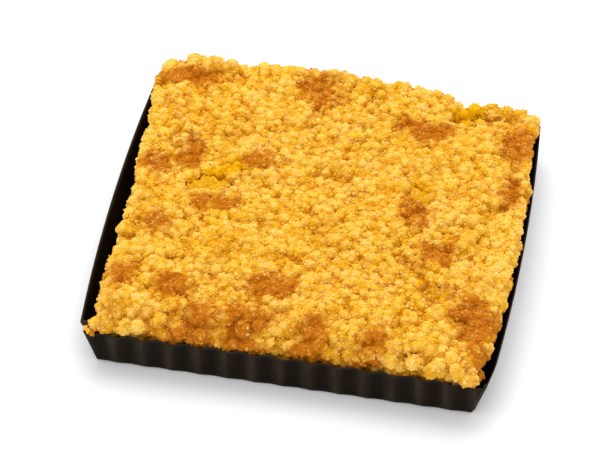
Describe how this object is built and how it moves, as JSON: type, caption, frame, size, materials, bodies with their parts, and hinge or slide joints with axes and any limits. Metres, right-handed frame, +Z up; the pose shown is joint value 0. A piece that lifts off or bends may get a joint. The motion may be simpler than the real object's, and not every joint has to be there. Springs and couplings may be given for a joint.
{
  "type": "lemon crumble tart",
  "caption": "Square lemon tart heaped with golden baked crumble, in its own thin dark fluted baking tray.",
  "frame": {"origin": "middle of the tray on the surface that it stands on", "axes": "+Z up out of the tart, -Y out of the fluted front wall, +X to the right seen from the front"},
  "size_m": [0.2428, 0.2306, 0.0483],
  "materials": {
    "tray": "dark brown-black baking coating, matt with a faint sheen",
    "crumble": "golden baked butter crumble with toasted patches, matt and crumbly",
    "curd": "set lemon curd, yellow, soft gloss"
  },
  "bodies": {
    "root": {"tray": "tray", "crumble": "crumble", "curd_back": "curd", "curd_left": "curd", "curd_right": "curd", "curd_front": "curd"}
  },
  "joints": []
}
